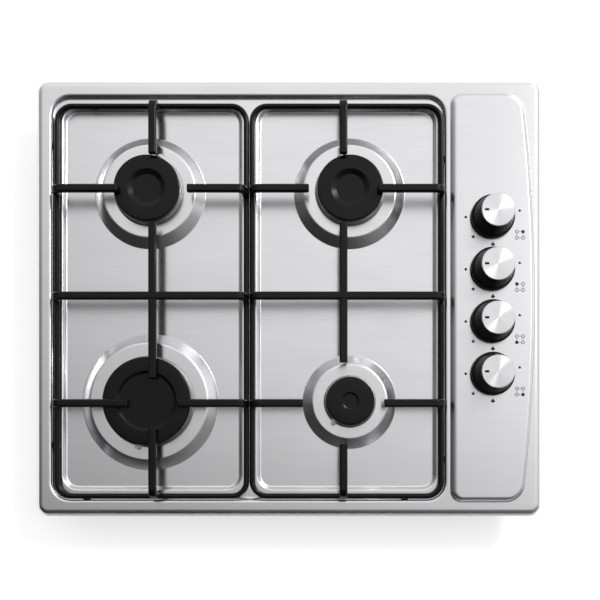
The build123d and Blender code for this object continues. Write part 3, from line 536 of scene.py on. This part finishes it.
# Gas way: brass jets, taps and elbow below the panel, turned and milled from bar.
brass = plain_finish(
    "brass_machined", light="c9a566", dark="b08d50", patch=4.0, bump=0.2, roughness=0.3, metallic=1.0)
for node in ("jets", "inlet_elbow"):
    dressed(node, "hob_body", [brass])
turned_steel = plain_finish(
    "steel_turned", light="a4a4a4", dark="8c8c8c", patch=3.0, bump=0.2, roughness=0.35, metallic=1.0)
for number in range(1, 5):
    dressed("tap_body_%d" % number, "hob_body", [brass])
    dressed("tap_plug_%d" % number, "tap_%d_turning" % number, [brass])
    dressed("tap_spindle_%d" % number, "knob_%d_pushing" % number, [turned_steel])


# Electrics: moulded switches and spark generator, the connection block, and the rubber rings
# round the spindles and the cable hole.
rubber = plain_finish(
    "rubber_moulded", light="161616", dark="0c0c0c",
    patch=4.0, bump=0.3, roughness=0.6, metallic=0.0, specular=0.3)
moulding = plain_finish(
    "nylon_black_moulded", light="26262a", dark="1a1a1d",
    patch=5.0, bump=0.25, roughness=0.5, metallic=0.0)
block = plain_finish(
    "polyamide_natural_moulded", light="e2dcc8", dark="d2ccb8",
    patch=6.0, bump=0.2, roughness=0.45, metallic=0.0)
for node in ("knob_seals", "cable_grommet"):
    dressed(node, "hob_body", [rubber])
for node in ("ignition_switches", "ignition_module"):
    dressed(node, "hob_body", [moulding])
dressed("terminal_block", "hob_body", [block])


# Knobs: black moulded plastic with a flared skirt, and a spun aluminium disc pressed into the top.
# The disc's turning marks run round its middle, and a short black dash points to the setting.
knob_moulding = plain_finish(
    "thermoset_black_moulded", light="0c0c0d", dark="060607",
    patch=3.0, bump=0.15, roughness=0.38, metallic=0.0, specular=0.2)


def spun_aluminium(name, x, y):
    """Aluminium with fine turning marks in rings round a knob's axis, which fan its highlights."""
    made, tree, place = material(name)
    middle = add(tree, "ShaderNodeVectorMath", {"operation": "SUBTRACT"}, {0: place, 1: (x, y, 0)})
    spoke = add(tree, "ShaderNodeVectorMath", {"operation": "MULTIPLY"}, {
        0: middle.outputs[0], 1: (1, 1, 0)})
    radius = add(tree, "ShaderNodeVectorMath", {"operation": "LENGTH"}, {0: spoke.outputs[0]})
    count = add(tree, "ShaderNodeMath", maths("MULTIPLY"), {0: radius.outputs["Value"], 1: 1000 / 0.5})
    marks = add(tree, "ShaderNodeTexNoise", {"noise_dimensions": "1D"}, {
        "W": count.outputs[0], "Scale": 1.0, "Detail": 3.0})
    tone = add(tree, "ShaderNodeMix", {"data_type": "RGBA", "blend_type": "MIX"}, {
        0: marks.outputs["Fac"], 6: linear("d4d4d6"), 7: linear("e8e8ea")})
    dent = add(tree, "ShaderNodeBump", inputs={
        "Height": marks.outputs["Fac"], "Strength": 0.08, "Distance": 0.0001})
    outward = add(tree, "ShaderNodeVectorMath", {"operation": "NORMALIZE"}, {0: spoke.outputs[0]})
    shader = add(tree, "ShaderNodeBsdfPrincipled", inputs={
        "Base Color": tone.outputs[2], "Metallic": 1.0, "Roughness": 0.26, "Anisotropic": 0.85,
        "Tangent": outward.outputs[0], "Normal": dent.outputs[0]})
    finish(tree, shader)
    return made


knob_low, knob_high = 16.5, 42.0
skirt, skirt_high = 24.7, knob_low + 3.6
disc, disc_low, disc_bevel = 18.55, knob_high - 1.0, 0.8
hub, bore, hollow, hollow_high = 6.5, 3.05, 17.4, knob_high - 3.0
outside = [
    (0, disc_low), (disc + 0.05, disc_low), (skirt - 2.0, skirt_high), (skirt - 1.7, skirt_high - 0.9),
    (skirt - 0.8, skirt_high - 0.9), (skirt, knob_low + 1.6), (skirt, knob_low)]
inside = [
    (skirt - 3.8, knob_low), (skirt - 3.8, knob_low + 3.0), (hollow, hollow_high), (hub, hollow_high),
    (hub, knob_low + 3.0), (bore, knob_low + 3.0), (bore, hollow_high), (0, hollow_high)]
knob_radii = [0, 0.1, 0.8, 0.3, 0.4, 0.6, 0.3, 0.3, 0, 0.5, 0, 0, 0, 0, 0]
knob_profile = rounded(outside + inside, knob_radii, segments=4)
disc_corners = [
    (0, disc_low), (disc, disc_low), (disc, disc_low + 0.4), (disc - disc_bevel, knob_high), (0, knob_high)]
disc_profile = rounded(disc_corners, [0, 0, 0.15, 0.3, 0])
dash_size, dash_corner, dash_inset = (5.0, 2.6, 0.06), 0.0008, 0.0125
for number in range(1, 5):
    knob_body = "knob_%d_pushing" % number
    x, y = center_of("knob_%d" % number)
    moulded = turned(knob_profile, x, y)
    knob = placed("knob_%d_moulded" % number, moulded, knob_body, [knob_moulding])
    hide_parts("knob_%d" % number)
    aluminium = spun_aluminium("aluminium_spun_%d" % number, x, y)
    spun = turned(disc_profile, x, y)
    face = placed("knob_disc_%d_spun" % number, spun, knob_body, [aluminium])
    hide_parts("knob_disc_%d" % number)
    dash = bmesh.new()
    bmesh.ops.create_cube(dash, size=0.001)
    bmesh.ops.scale(dash, verts=dash.verts, vec=dash_size)
    upright = [edge for edge in dash.edges if abs(edge.verts[0].co.z - edge.verts[1].co.z) > 0.00001]
    bmesh.ops.bevel(
        dash, geom=upright, offset=dash_corner, affect="EDGES", segments=4, profile=0.5, material=-1)
    bmesh.ops.translate(dash, verts=dash.verts, vec=(x - dash_inset, y, (knob_high + 0.02) / 1000))
    placed("knob_%d_pointer" % number, dash, knob_body, [knob_moulding])


# Panel marks: black ink screen-printed on the raised panel round each knob, an off dot, a spark,
# a large and a small flame, and four rings of which the filled one is the knob's burner.
ink = plain_finish(
    "screen_print_ink_black", light="1c1c1c", dark="101010",
    patch=2.0, bump=0.05, roughness=0.5, metallic=0.0, specular=0.3)


def printed(shape, x, y, outline):
    """A flat printed patch, its outline in millimetres round a place on the panel."""
    print_z = panel_z + 0.03
    points = [((x + u) / 1000, (y + v) / 1000, print_z / 1000) for u, v in outline]
    shape.faces.new([shape.verts.new(point) for point in points])


def spokes(*reaches, count=24, turn=0.0):
    """An outline round a point, whose corners take the reaches in turn."""
    outline = []
    for k in range(count):
        a = math.radians(turn) + math.tau * k / count
        reach = reaches[k % len(reaches)]
        outline.append((reach * math.cos(a), reach * math.sin(a)))
    return outline


def flame(height):
    """A flame's outline, leaning a little, of a height in millimetres."""
    outline = ((-0.30, -0.5), (0.30, -0.5), (0.46, -0.2), (0.34, 0.08), (0.16, 0.02), (0.10, 0.5),
               (-0.18, 0.2), (-0.42, -0.05), (-0.48, -0.3))
    return [(u * height, v * height) for u, v in outline]


symbols = (  # off dot, spark, large flame and small flame, at their places from the knob's axis
    (-30.3, 0, spokes(1.55)), (-21.8, -22.5, spokes(2.7, 1.2, count=10, turn=18)),
    (0.8, -30.2, flame(5.0)), (31.3, 7.8, flame(3.5)))
rings_x, rings_y, ring_reach = 31.5, -20.2, 3.5
ring_outside, ring_inside = spokes(2.0), spokes(1.3)
dash_long, dash_thin = 1.2, 0.25
own_ring = {1: (1, 1), 2: (-1, 1), 3: (-1, -1), 4: (1, -1)}
for number in range(1, 5):
    x, y = [1000 * at for at in center_of("knob_%d" % number)]
    marks = bmesh.new()
    for across_by, up_by, outline in symbols:
        printed(marks, x + across_by, y + up_by, outline)
    middle_x, middle_y = x + rings_x, y + rings_y
    for side in (-1, 1):
        for end in (-1, 1):
            ring_x, ring_y = middle_x + side * ring_reach, middle_y + end * ring_reach
            if (side, end) == own_ring[number]:
                printed(marks, ring_x, ring_y, ring_outside)
                continue
            for k in range(len(ring_outside)):
                printed(marks, ring_x, ring_y, (
                    ring_outside[k - 1], ring_outside[k], ring_inside[k], ring_inside[k - 1]))
        for place_x, place_y, u, v in (
                (middle_x, middle_y + side * ring_reach, dash_long, dash_thin),
                (middle_x + side * ring_reach, middle_y, dash_thin, dash_long)):
            printed(marks, place_x, place_y, ((-u, -v), (u, -v), (u, v), (-u, v)))
    bmesh.ops.remove_doubles(marks, verts=marks.verts, dist=merge_within)
    placed("panel_marks_%d" % number, marks, "hob_body", [ink])


# Pan supports: an enamelled frame of bent rod with round-edged bars welded over it, on small
# rubber feet that keep the rod off the steel.
for side in ("left", "right"):
    set_body = "pan_support_%s_set" % side
    dressed("pan_support_" + side, set_body, [enamel], sharp=50.0)
    dressed("support_feet_" + side, set_body, [rubber])
